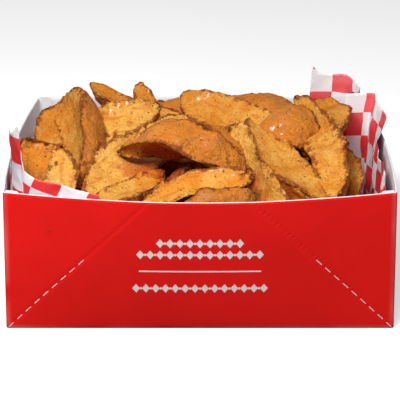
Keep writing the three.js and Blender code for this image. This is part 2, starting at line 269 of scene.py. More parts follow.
def fibre_group():
    """Faint cloudiness and fine fibres, shared by the board, its coating and the paper."""
    tree = bpy.data.node_groups.new("fibre", "ShaderNodeTree")
    tree.interface.new_socket("Place", in_out="INPUT", socket_type="NodeSocketVector")
    tree.interface.new_socket("Fibres per metre", in_out="INPUT", socket_type="NodeSocketFloat")
    tree.interface.new_socket("Cloud", in_out="OUTPUT", socket_type="NodeSocketFloat")
    tree.interface.new_socket("Fibre", in_out="OUTPUT", socket_type="NodeSocketFloat")
    shader = Shader(tree)
    given = shader.add("NodeGroupInput")
    result = shader.add("NodeGroupOutput")
    cloud = shader.noise(given.outputs["Place"], 28.0, 4.0)
    fine = shader.noise(given.outputs["Place"], 1.0, 2.0, 0.7)
    tree.links.new(given.outputs["Fibres per metre"], fine.node.inputs["Scale"])
    tree.links.new(cloud, result.inputs["Cloud"])
    tree.links.new(fine, result.inputs["Fibre"])
    return tree


fibre = fibre_group()


def place_fibre(shader, place, fibres):
    node = shader.add("ShaderNodeGroup", {}, node_tree=fibre)
    shader.tree.links.new(place, node.inputs["Place"])
    node.inputs["Fibres per metre"].default_value = fibres
    return node.outputs["Cloud"], node.outputs["Fibre"]


def coated_red():
    """Glossy red print on board: faint mottling, worn paler along folds, and a scored crease."""
    material, shader, surface = new_material(
        "coated_red", Coat_Roughness=0.3, Coat_Weight=0.02, Specular_IOR_Level=0.1
    )
    links = shader.tree.links
    place = shader.add("ShaderNodeTexCoord").outputs["Object"]
    cloud, fine = place_fibre(shader, place, 2600.0)
    tone = shader.spread(cloud, 0.3, 0.7, 0.93, 1.04)
    mottled = shader.dim(COATING_RED, tone)
    worn = shader.attribute("fold").outputs["Fac"]
    patchy = shader.math("MULTIPLY", worn, shader.spread(cloud, 0.35, 0.65))
    color = shader.mix(shader.math("MULTIPLY", patchy, 0.22), mottled, COATING_WORN)
    links.new(color, surface.inputs["Base Color"])
    links.new(shader.spread(cloud, 0.3, 0.7, 0.40, 0.50), surface.inputs["Roughness"])
    score = shader.attribute("score").outputs["Fac"]
    height = shader.math("SUBTRACT", shader.math("MULTIPLY", fine, 0.12), score)
    links.new(shader.bump(height, 0.00022), surface.inputs["Normal"])
    return material


def white_board():
    """Bare board: soft white with a cast of grey, and fine fibres."""
    material, shader, surface = new_material("white_board", Roughness=0.62)
    links = shader.tree.links
    place = shader.add("ShaderNodeTexCoord").outputs["Object"]
    cloud, fine = place_fibre(shader, place, 1900.0)
    color = shader.mix(shader.spread(cloud, 0.3, 0.7), BOARD_WHITE, BOARD_GREY)
    links.new(color, surface.inputs["Base Color"])
    links.new(shader.bump(fine, 0.00008), surface.inputs["Normal"])
    return material


red_coating = coated_red()
bare_board = white_board()


def panel_turns(radius, steps):
    """Turns round the four walls, with a few more points across each corner."""
    wall = np.linspace(-0.5 + radius / 2, 0.5 - radius / 2, steps)
    corner = 0.5 + radius / 2 * np.array([-0.5, -0.2, 0.2, 0.5])
    return np.concatenate([np.concatenate([wall, corner]) + side for side in range(4)])


def carton_ring(z, inset, turns):
    across, deep = rounded_point(turns, np.full_like(turns, FOLD_ROUND))
    ring = inside_point(across, deep, z, inset)
    on_front = deep <= -1 + 1e-9
    ring[:, 2] -= np.where(on_front, FRONT_DIP * (1 - across**2) * rise_at(z), 0)
    return ring


def carton_body():
    turns = panel_turns(FOLD_ROUND, PANEL_STEPS)
    edge = BOARD / 5
    low = [(0, BASE_ROUND), (BASE_ROUND / 6, BASE_ROUND / 2), (BASE_ROUND / 2, BASE_ROUND / 6)]
    heights = np.linspace(BASE_ROUND, CARTON_HEIGHT - edge, PANEL_ROWS)
    outside = low + [(z, 0.0) for z in heights]
    rim = [(CARTON_HEIGHT, edge), (CARTON_HEIGHT, BOARD - edge)]
    inside = [(max(z, BOARD), BOARD) for z in heights[::-1]]
    rings = [carton_ring(z, inset, turns) for z, inset in outside + rim + inside]
    points, faces = loft(rings, (0, 0, 0), (0, 0, BOARD))
    count = len(turns)
    bands = len(rings) - 1
    is_white = np.arange(bands) >= len(outside) - 1
    face_material = np.concatenate([np.repeat(is_white, count), np.zeros(count), np.ones(count)])
    piece = make_piece("carton_board", points, faces, [red_coating, bare_board], face_material)

    # Where the board is folded: round the upright corners and along the base.
    points = np.asarray(points)
    across, deep = rounded_point(turns, np.full_like(turns, FOLD_ROUND))
    at_corner = (np.abs(across) > 0.985) & (np.abs(deep) > 0.985)
    folded = np.concatenate([np.tile(at_corner, len(rings)), [0, 0]]).astype(float)
    folded = np.maximum(folded, points[:, 2] < BASE_ROUND)
    write_attribute(piece, "fold", folded)
    return piece


carton = carton_body()


def add_score_lines(piece):
    """Marks the points near the slanting creases of the front and back panels."""
    points = mesh_points(piece.data)
    from_corner = BASE_WIDTH / 2 - np.abs(points[:, 0])
    away = np.abs(from_corner - points[:, 2] - CREASE_START) / math.sqrt(2)
    on_panel = np.abs(points[:, 1]) > BASE_DEPTH / 2 - 2 * BOARD
    write_attribute(piece, "score", np.where(on_panel, np.clip(1 - away / CREASE_HALF, 0, 1), 0))


add_score_lines(carton)
finish_piece(carton, "carton_board", "carton")


# The glue flaps: the ends of the side panels, turned in behind the front and back panels.
FLAP_START = 0.994  # both ends of a flap, as shares of the half width
FLAP_END = 0.925
FLAP_BOARD = 0.0005
FLAP_PROUD = 0.0007  # how far a flap stands above the panel that it is glued to
FLAP_SHOULDER = (1, 1, 1, 1, 0.7, -1.2)  # the same along its top edge, which is cut off slanting


def glue_flaps():
    """Four narrow flaps, each a thin slab behind one end of the front or back panel."""
    points = []
    faces = []
    for side in (-1, 1):
        for end in (-1, 1):
            shoulder = FLAP_PROUD * np.array(FLAP_SHOULDER)
            across = end * np.linspace(FLAP_START, FLAP_END, len(shoulder))
            deep = np.full_like(across, side)
            rings = []
            for inset in (BOARD, BOARD + FLAP_BOARD):
                for z, lift in ((BOARD, 0), (CARTON_HEIGHT / 2, 0), (CARTON_HEIGHT, 1)):
                    row = inside_point(across, deep, z, inset)
                    row[:, 2] += lift * shoulder
                    rings.append(row)
            low_out, mid_out, top_out, low_in, mid_in, top_in = rings
            order = [low_out, mid_out, top_out, top_in, mid_in, low_in]
            sheet = np.stack(order, 1).reshape(-1, 3)
            start = len(points)
            ring = len(order)
            for step in range(len(across) - 1):
                for place in range(ring):
                    a = start + step * ring + place
                    b = start + step * ring + (place + 1) % ring
                    face = [a, b, b + ring, a + ring]
                    faces.append(face if side * end > 0 else face[::-1])
            first = [start + place for place in range(ring)]
            last = [start + (len(across) - 1) * ring + place for place in range(ring)]
            faces.append(first[::-1] if side * end > 0 else first)
            faces.append(last if side * end > 0 else last[::-1])
            points += sheet.tolist()
    return make_piece("glue_flaps", points, faces, [bare_board], smooth=False)


flaps = glue_flaps()
finish_piece(flaps, "carton_board")


# ---------------------------------------------------------------- print
# White print on the panels: a row of cutting dashes up each lower diagonal, and on the front a
# thin rule between rows of plain lozenges and dots. The ink is flush on the coating.

INK = 0.00007
INK_WHITE = (0.86, 0.80, 0.79, 1)
INK_THIN = (0.84, 0.66, 0.65, 1)
DASH_LENGTH = 0.0039
DASH_PITCH = 0.0068
DASH_WIDTH = 0.0004
DASHES = 9
RULE_LENGTH = 0.063
RULE_WIDTH = 0.00075
RULE_HEIGHT = 0.0363
MARK_PITCH = 0.0051
# Each row of marks: its height up the panel, the number of marks and the height of one.
MARK_ROWS = ((0.0531, 9, 0.0052), (0.0463, 13, 0.0052), (0.0259, 14, 0.0052))
LOZENGE_SHARE = 0.78  # width of a lozenge, as a share of its height
DOT_SHARE = 0.27


def geometry_tree(name, **inputs):
    """A new Geometry Nodes tree with named inputs for its sizes, and its first node's outputs."""
    tree = bpy.data.node_groups.new(name, "GeometryNodeTree")
    tree.interface.new_socket("Geometry", in_out="INPUT", socket_type="NodeSocketGeometry")
    for socket, kind in inputs.items():
        tree.interface.new_socket(socket, in_out="INPUT", socket_type="NodeSocket" + kind)
    tree.interface.new_socket("Geometry", in_out="OUTPUT", socket_type="NodeSocketGeometry")
    nodes = Shader(tree)
    return tree, nodes, nodes.add("NodeGroupInput").outputs


def end_tree(nodes, instances, material):
    """Makes the instances real, gives them their material and puts them out."""
    real = nodes.add("GeometryNodeRealizeInstances", {"Geometry": instances})
    finished = nodes.add("GeometryNodeSetMaterial", {"Geometry": real.outputs["Geometry"]})
    finished.inputs["Material"].default_value = material
    nodes.add("NodeGroupOutput", {"Geometry": finished.outputs["Geometry"]})


def print_row_tree(material):
    """Geometry Nodes: a row of flat marks in the plane of X and Z, every one the same."""
    tree, nodes, given = geometry_tree(
        "print_row", Count="Int", Pitch="Vector", Start="Vector", Sides="Int", Size="Vector",
        Turn="Float", Lean="Float",
    )
    line = nodes.add(
        "GeometryNodeMeshLine",
        {"Count": given["Count"], "Offset": given["Pitch"], "Start Location": given["Start"]},
    )
    mark = nodes.add(
        "GeometryNodeMeshCylinder",
        {"Vertices": given["Sides"]},
        {"Radius": 0.5, "Depth": 1.0},
    )
    facing = nodes.add("ShaderNodeCombineXYZ", {"Y": given["Turn"]}, {"X": math.pi / 2})
    upright = nodes.add(
        "GeometryNodeTransform",
        {"Geometry": mark.outputs["Mesh"], "Rotation": facing.outputs[0]},
    )
    lean = nodes.add("ShaderNodeCombineXYZ", {"Y": given["Lean"]})
    turned = nodes.add("FunctionNodeEulerToRotation", {0: lean.outputs[0]})
    spread = nodes.add(
        "GeometryNodeInstanceOnPoints",
        {
            "Points": line.outputs["Mesh"],
            "Instance": upright.outputs["Geometry"],
            "Rotation": turned.outputs[0],
            "Scale": given["Size"],
        },
    )
    end_tree(nodes, spread.outputs["Instances"], material)
    return tree


def grown_mesh(tree, values, base=None):
    """Runs a Geometry Nodes tree on a base mesh, or on nothing, and returns the plain mesh."""
    mesh = base or bpy.data.meshes.new("base")
    carrier = bpy.data.objects.new("carrier", mesh)
    bpy.context.scene.collection.objects.link(carrier)
    modifier = carrier.modifiers.new("grow", "NODES")
    modifier.node_group = tree
    for item in tree.interface.items_tree:
        if item.in_out == "INPUT" and item.name in values:
            modifier[item.identifier] = values[item.name]
    graph = bpy.context.evaluated_depsgraph_get()
    result = bpy.data.meshes.new_from_object(carrier.evaluated_get(graph))
    carrier.modifiers.remove(modifier)
    bpy.data.objects.remove(carrier)
    return result


def mesh_arrays(mesh):
    return mesh_points(mesh), [list(face.vertices) for face in mesh.polygons]


def white_ink():
    material, shader, surface = new_material("white_ink", Roughness=0.42)
    place = shader.add("ShaderNodeTexCoord").outputs["Object"]
    cloud, fine = place_fibre(shader, place, 3200.0)
    color = shader.mix(shader.spread(fine, 0.35, 0.75), INK_WHITE, INK_THIN)
    shader.tree.links.new(color, surface.inputs["Base Color"])
    shader.tree.links.new(shader.bump(cloud, 0.00003), surface.inputs["Normal"])
    return material


ink = white_ink()
print_row = print_row_tree(ink)


def panel_print():
    """Every row of marks, laid flat first and then moved onto the bowed panels."""
    points = []
    faces = []

    def onto_panel(flat, flat_faces, side):
        across = flat[:, 0] / (BASE_WIDTH / 2)
        deep = np.full(len(flat), float(side))
        out = np.where(flat[:, 1] < 0, INK, -INK)
        placed = inside_point(across, deep, flat[:, 2], -out)
        placed[:, 0] = flat[:, 0]
        if side < 0:
            placed[:, 2] -= FRONT_DIP * (1 - across**2) * rise_at(flat[:, 2])
        else:
            flat_faces = [face[::-1] for face in flat_faces]
        first = len(points)
        points.extend(placed.tolist())
        faces.extend([[first + index for index in face] for face in flat_faces])

    def add_row(side, sides, **values):
        row, row_faces = mesh_arrays(grown_mesh(print_row, {"Sides": sides, **values}))
        onto_panel(row, row_faces, side)

    half = BASE_WIDTH / 2
    step = DASH_PITCH / math.sqrt(2)
    dash = (DASH_LENGTH * math.sqrt(2), 1.0, DASH_WIDTH * math.sqrt(2))
    for side in (-1, 1):
        for end in (-1, 1):
            foot = (end * (half - CREASE_START - step / 2), 0.0, step / 2)
            slope = (-end * step, 0.0, step)
            add_row(side, 4, Count=DASHES, Pitch=slope, Start=foot, Size=dash,
                    Turn=math.pi / 4, Lean=end * math.pi / 4)
    low = RULE_HEIGHT - RULE_WIDTH / 2
    high = RULE_HEIGHT + RULE_WIDTH / 2
    stations = np.linspace(-RULE_LENGTH / 2, RULE_LENGTH / 2, 24)
    bars = [np.array([(x, -1, low), (x, 1, low), (x, 1, high), (x, -1, high)]) for x in stations]
    ends = [(x, 0, RULE_HEIGHT) for x in (stations[0], stations[-1])]
    onto_panel(*loft(bars, *ends), -1)
    for height, count, tall in MARK_ROWS:
        lead = -MARK_PITCH * (count - 1) / 2
        pitch = (MARK_PITCH, 0.0, 0.0)
        add_row(-1, 4, Count=count, Pitch=pitch, Start=(lead, 0.0, height),
                Size=(tall * LOZENGE_SHARE, 1.0, tall))
        add_row(-1, 12, Count=count - 1, Pitch=pitch, Start=(lead + MARK_PITCH / 2, 0.0, height),
                Size=(tall * DOT_SHARE, 1.0, tall * DOT_SHARE))
    return make_piece("panel_print", points, faces, [ink], smooth=False)


print_marks = panel_print()
finish_piece(print_marks, "carton_board")


# ---------------------------------------------------------------- paper liner
# One sheet of thin waxed paper, printed in red and white checks, pressed into the carton so that
# it crumples. Its corner stands up at the front left, and it rises behind the food on the right.

PAPER = 0.00012
LINER_GAP = 0.0006
LINER_LIFT = 0.0004
LINER_FOOT = 0.007
LINER_CORNER = 0.2  # rounding of the back corners, as a share of the half width
FRONT_CORNER = 0.12  # the same at the front, where the sheet is pushed into the corners
PLEAT_DEPTH = 0.0018
PLEATS_PER_WALL = 3.5
PLEAT_TWIST = 35.0
PLEAT_FOOT = 0.030
SLACK_DEPTH = 0.001
SLACK_MIDDLE = 0.056
SLACK_SPREAD = 0.022
SLACK_TURNS = (0.45, 1.6, 0.25)
FOLD_DEPTH = 0.016
FOLD_TURNS = (1.21, 1.245, 1.42)  # start, peak and end of the upright fold on the right
FOLD_RISE = (0.020, 0.080)
CRUMPLE = 0.0011
RIGHT_CRUMPLE = 0.0018  # more on the right, where the sheet is gathered
RIGHT_TURNS = (0.45, 1.24, 0.06)
RIGHT_LEAN = 0.22  # how far it leans out over the rim there, for each unit of height
CHECK = 0.0142
LINER_COLUMNS = 960
LINER_ROWS = 62
PAPER_RED = (0.74, 0.012, 0.014, 1)
PAPER_WHITE = (0.74, 0.69, 0.73, 1)
LIT_RED = (0.86, 0.16, 0.20, 1)  # the same two where light comes through the sheet
LIT_WHITE = (0.86, 0.85, 0.84, 1)
OILY_PAPER = (0.80, 0.62, 0.64, 1)

# Height of the paper's edge round the carton, as turns and millimetres.
LINER_EDGE = (
    (0, 58), (0.4, 60), (0.5, 75), (0.62, 77), (0.8, 77), (0.96, 79), (0.975, 91), (1.22, 94.5),
    (1.25, 95), (1.4, 88), (1.5, 92), (1.55, 93.5), (1.63, 93.5), (1.645, 98), (1.655, 56),
    (2.3, 54), (2.5, 60), (2.85, 66), (2.95, 76), (3.1, 79), (3.3, 80), (3.40, 84), (3.425, 104),
    (3.44, 106), (3.5, 107), (3.53, 111.5), (3.54, 88), (3.57, 86), (3.64, 81.5), (3.73, 76.5),
    (3.8, 60), (4, 58),
)
# Where the check's lines cross on the sheet, as a turn and a height, and how the sheet slants
# there: the back panel, the upright fold, the ear, and the band in front of the food.
BACK_CROSSING = (1.583, 0.0816)
FOLD_CROSSING = (1.2195, 0.0833)
EAR_CROSSING = (3.455, 0.0908)
BAND_CROSSING = (3.5645, 0.0802)
BAND_SLANT = math.radians(-22)
BACK_START = 1.42
EAR_START = 2.3
BAND_START = 3.537


def smooth_step(value, low, high):
    share = np.clip((value - low) / (high - low), 0, 1)
    return share * share * (3 - 2 * share)


def fold_wave(place):
    """A zigzag from -1 to 1 with sharp turns."""
    return 2 * np.abs(2 * (place - np.floor(place + 0.5))) - 1


def crumple(turn, z, seed, size=1.0, folds=7):
    """Flat facets that meet in sharp folds: zigzags in several directions on a bent grid."""
    draw = random.Random(seed)
    u = turn * (BASE_WIDTH + BASE_DEPTH) / 2
    bent_u = u + 0.004 * np.sin(z * 140 + turn * 9.0)
    bent_z = z + 0.004 * np.sin(turn * 23.0 + 1.3)
    total = np.zeros_like(u)
    for order in range(folds):
        angle = draw.uniform(0, math.pi)
        length = size * draw.uniform(0.016, 0.034) / (1 + 0.25 * order)
        phase = draw.random()
        along = bent_u * math.cos(angle) + bent_z * math.sin(angle)
        total += fold_wave(along / length + phase) / (1.4 + order * 0.55)
    return total / 2.4


def stretch_share(turn, limits):
    start, end, fade = limits
    return smooth_step(turn, start, start + fade) * (1 - smooth_step(turn, end - fade, end))


def liner_inset(turn, z):
    """How far the paper stands in from the board."""
    swing = 2 * np.pi * PLEATS_PER_WALL * turn + PLEAT_TWIST * z
    depth = PLEAT_DEPTH * smooth_step(z, 0, PLEAT_FOOT)
    pleat = depth * (0.5 - 0.5 * np.cos(swing))
    slack = np.exp(-(((z - SLACK_MIDDLE) / SLACK_SPREAD) ** 2))
    lean = SLACK_DEPTH * slack * stretch_share(turn, SLACK_TURNS)
    low = np.clip(1 - z / LINER_FOOT, 0, 1)
    foot = LINER_FOOT * (1 - np.sqrt(1 - low**2))
    start, peak, end = FOLD_TURNS
    near_fold = np.minimum((turn - start) / (peak - start), (end - turn) / (end - peak))
    near_fold = np.clip(near_fold, 0, 1)
    fold = FOLD_DEPTH * near_fold * smooth_step(z, *FOLD_RISE)
    return pleat + lean + foot + fold


def sheet_inset(turn, z):
    """The same with the fine crumples, which only push the paper in."""
    shallow = smooth_step(z, 0.004, 0.02)
    gathered = RIGHT_CRUMPLE * stretch_share(turn, RIGHT_TURNS)
    fine = CRUMPLE * (0.9 + crumple(turn, z, 5))
    broad = gathered * (0.9 + crumple(turn, z, 8, 2.2, 4))
    over_rim = np.maximum(0, z - CARTON_HEIGHT) * RIGHT_LEAN * stretch_share(turn, RIGHT_TURNS)
    return liner_inset(turn, z) + shallow * (fine + broad) - over_rim


def liner_radius(turn):
    return np.where(np.abs(turn - 2) > 1, FRONT_CORNER, LINER_CORNER)


def paper_point(turn, z, offset=0.0):
    across, deep = rounded_point(turn, liner_radius(turn))
    inset = BOARD + LINER_GAP + sheet_inset(turn, z) + offset
    return inside_point(across, deep, z, inset)


def checked_paper():
    """Waxed paper with a check in the sheet's own coordinates, with painted light: paler where
    light would come through it.
    """
    material, shader, surface = new_material(
        "checked_paper", Coat_Weight=0.15, Coat_Roughness=0.3, Specular_IOR_Level=0.4
    )
    links = shader.tree.links
    flat = shader.add("ShaderNodeUVMap", uv_map="sheet").outputs["UV"]
    place = shader.add("ShaderNodeTexCoord").outputs["Object"]
    cloud, fine = place_fibre(shader, place, 2400.0)
    check = shader.add("ShaderNodeTexChecker", {"Vector": flat}, {"Scale": 1 / CHECK})
    # Painted light: the colours go paler where light would shine through the sheet from behind.
    thin = shader.attribute("thin").outputs["Fac"]
    red = shader.mix(shader.math("MULTIPLY", thin, 0.55), PAPER_RED, LIT_RED)
    white = shader.mix(thin, PAPER_WHITE, LIT_WHITE)
    color = shader.mix(check.outputs["Fac"], white, red)
    soft = shader.mix(shader.spread(cloud, 0.35, 0.8, 0.0, 0.14), color, OILY_PAPER)
    links.new(soft, surface.inputs["Base Color"])
    links.new(shader.spread(cloud, 0.3, 0.7, 0.42, 0.56), surface.inputs["Roughness"])
    links.new(shader.bump(fine, 0.00006), surface.inputs["Normal"])
    return material


paper = checked_paper()


def liner_sheet():
    """The sheet as a closed cup: an outer and an inner skin over one grid of turns and heights."""
    turns = np.arange(LINER_COLUMNS) * 4 / LINER_COLUMNS
    places, heights = zip(*LINER_EDGE)
    edge = np.interp(turns, places, heights) / 1000
    edge += 0.0005 * np.sin(turns * 31.0) + 0.0004 * np.sin(turns * 57.0 + 2.0)
    bottom = BOARD + LINER_LIFT
    shares = np.linspace(0, 1, LINER_ROWS)
    grid_z = bottom + (edge[None, :] - bottom) * shares[:, None]
    grid_turn = np.broadcast_to(turns, grid_z.shape)
    outer = paper_point(grid_turn, grid_z)
    inner = paper_point(grid_turn, grid_z, PAPER)
    inner[:, :, 2] = np.where(shares[:, None] == 0, bottom + PAPER, inner[:, :, 2])
    rings = [*outer, *inner[::-1]]
    points, faces = loft(rings, (0, 0, bottom), (0, 0, bottom + PAPER))
    piece = make_piece("paper_liner", points, faces, [paper])

    # The sheet's own flat coordinates: its length round the walls near the rim and its height.
    level = paper_point(turns, np.full_like(turns, CARTON_HEIGHT))
    steps = np.linalg.norm(np.diff(level, axis=0, append=level[:1]), axis=1)
    around = np.concatenate([[0], np.cumsum(steps)[:-1]])
    skin = np.zeros(grid_z.shape + (2,))
    for start, end, crossing, slant, shift in (
        (0.0, BACK_START, FOLD_CROSSING, 0.0, 0.0),
        (BACK_START, EAR_START, BACK_CROSSING, 0.0, 0.0),
        (EAR_START, BAND_START, EAR_CROSSING, 0.0, CHECK),
        (BAND_START, 4.0, BAND_CROSSING, BAND_SLANT, CHECK),
    ):
        here = (turns >= start) & (turns < end)
        along = around[here] - np.interp(crossing[0], turns, around)
        up = grid_z[:, here] - crossing[1]
        skin[:, here, 0] = shift + along * math.cos(slant) + up * math.sin(slant)
        skin[:, here, 1] = up * math.cos(slant) - along * math.sin(slant)
    flat = np.concatenate([skin.reshape(-1, 2), skin[::-1].reshape(-1, 2), [[0, 0], [0, 0]]])
    layer = piece.data.uv_layers.new(name="sheet")
    corner_point = np.zeros(len(piece.data.loops), np.int64)
    piece.data.loops.foreach_get("vertex_index", corner_point)
    per_corner = flat[corner_point]
    layer.data.foreach_set("uv", per_corner.ravel())
    # Painted light: high on the right and back walls, about the rim, the sheet is marked to be
    # paler, where light would come through it.
    light = smooth_step(grid_z, 0.070, 0.095) * stretch_share(grid_turn, (1.0, 1.75, 0.1))
    thin = np.concatenate([light.ravel(), light[::-1].ravel(), [0, 0]])
    write_attribute(piece, "thin", thin)
    return piece


liner = liner_sheet()
finish_piece(liner, "liner_paper", "liner")


# ---------------------------------------------------------------- potato wedges
# Potatoes cut lengthwise, dusted with seasoned flour and fried. Each wedge has two cut faces that
# meet in a ridge and a strip of skin, and it is darkest along its edges and at its ends.

HEAP_GAP = 0.0003
RIDGE_DEPTH = 0.5
RIDGE_RISE = 0.22
TWIST_AXIS = 0.6  # distance of the line it twists about from the ridge, in radii
FACE_HOLLOW = 0.07  # how far a cut face dries in, as a share of the radius
TIP_TAPER = 0.62  # over 0.5 makes the ends pointed
EDGE_CROWDING = 0.7  # share by which the points of a section crowd towards its edges
FINE_STEPS = (128, 84)  # stations along a wedge that shows, and points round it
PLAIN_STEPS = (56, 44)
BUMP_DEPTH = 0.0012
EDGE_REACH = 0.0022  # how far the crust of an edge, and of the ridge, spreads over the faces
RIDGE_REACH = 0.003


def hash_grid(i, j, k, seed):
    mixed = i * 374761393 + j * 668265263 + k * 2147483647 + seed * 1274126177
    mixed = (mixed ^ (mixed >> 13)) * 1103515245
    mixed = mixed ^ (mixed >> 16)
    return (mixed & 0xFFFF) / 32767.5 - 1


def lumps(points, size, seed):
    """Smooth random relief from -1 to 1, the same for the same place and seed."""
    scaled = points / size + seed * 3.17
    cell = np.floor(scaled).astype(np.int64)
    part = scaled - cell
    ease = part * part * (3 - 2 * part)
    total = np.zeros(len(points))
    for corner in range(8):
        step = np.array([corner & 1, (corner >> 1) & 1, corner >> 2])
        weight = np.prod(np.where(step == 1, ease, 1 - ease), axis=1)
        total += weight * hash_grid(*(cell + step).T, seed)
    return total


def wander(stations, seed):
    """A slow random change along a wedge, from about -1 to 1."""
    draw = random.Random(seed)
    total = np.zeros_like(stations)
    for order in (0.7, 1.3, 2.4, 4.1):
        total += np.sin(order * math.pi * stations + draw.uniform(0, 2 * math.pi)) / (0.6 + order)
    return total


def crowded(count):
    """Places from 0 up to 1 that crowd towards both ends."""
    even = np.arange(count) / count
    return (1 - EDGE_CROWDING) * even + EDGE_CROWDING * (0.5 - 0.5 * np.cos(math.pi * even))


def wedge_section(half_angle, count):
    """Round the section: across, out, and how far a point is skin. It starts at the ridge."""
    arc = 2 * half_angle
    face = round(count * 0.32)
    rind = count - 2 * face
    run = np.concatenate([crowded(face), 1 + arc * crowded(rind), 1 + arc + crowded(face)])
    face_one = run < 1
    on_skin = (run >= 1) & (run < 1 + arc)
    bearing = np.where(face_one, half_angle, -half_angle)
    bearing = np.where(on_skin, half_angle - (run - 1), bearing)
    reach = np.where(face_one, run, np.where(on_skin, 1.0, 2 + arc - run))
    section = np.stack([reach * np.sin(bearing), reach * np.cos(bearing)], 1)
    face_run = np.where(face_one, run, 2 + arc - run)
    hollow = np.where(on_skin, 0, FACE_HOLLOW * np.sin(math.pi * np.clip(face_run, 0, 1)) ** 1.5)
    inward = np.where(face_one, -1, 1)
    section[:, 0] += inward * hollow * math.cos(half_angle)
    section[:, 1] += hollow * math.sin(half_angle)
    section = (np.roll(section, 1, 0) + 2 * section + np.roll(section, -1, 0)) / 4
    to_edge = np.minimum(np.abs(run - 1), np.abs(run - 1 - arc))
    to_ridge = np.minimum(run, 2 + arc - run)
    return section, on_skin.astype(float), to_edge, to_ridge


def rolled_axes(start, end, roll):
    """Directions along a wedge, out through its skin and across it."""
    along = (end - start).normalized()
    up = Vector((0, 0, 1))
    up = (up - along * up.dot(along)).normalized()
    aside = up.cross(along)
    turned = math.radians(roll)
    skinward = up * math.cos(turned) + aside * math.sin(turned)
    return np.array(along), np.array(skinward), np.array(skinward.cross(along))


def keep_inside(points):
    """Presses what would stand through the paper flat against it."""
    z = points[:, 2]
    wide = BASE_WIDTH / 2 - WIDTH_TAPER * rise_at(z)
    depth = BASE_DEPTH / 2 - DEPTH_TAPER * rise_at(z)
    across = points[:, 0] / wide
    deep = points[:, 1] / depth
    side_wall = np.abs(across) > np.abs(deep)
    safe_across = np.where(np.abs(across) < 1e-6, 1e-6, across)
    safe_deep = np.where(np.abs(deep) < 1e-6, 1e-6, deep)
    from_sides = np.where(across > 0, 1 + deep / (2 * safe_across), 3 + deep / (2 * safe_across))
    from_ends = np.where(deep > 0, 2 - across / (2 * safe_deep), 4 - across / (2 * safe_deep))
    turn = np.mod(np.where(side_wall, from_sides, from_ends), 4.0)
    limit = paper_point(turn, np.maximum(z, 0.004), PAPER + HEAP_GAP)
    room = np.hypot(limit[:, 0], limit[:, 1])
    reach = np.hypot(points[:, 0], points[:, 1])
    scale = np.minimum(1, room / np.maximum(reach, 1e-6))
    points[:, :2] *= scale[:, None]
    return points


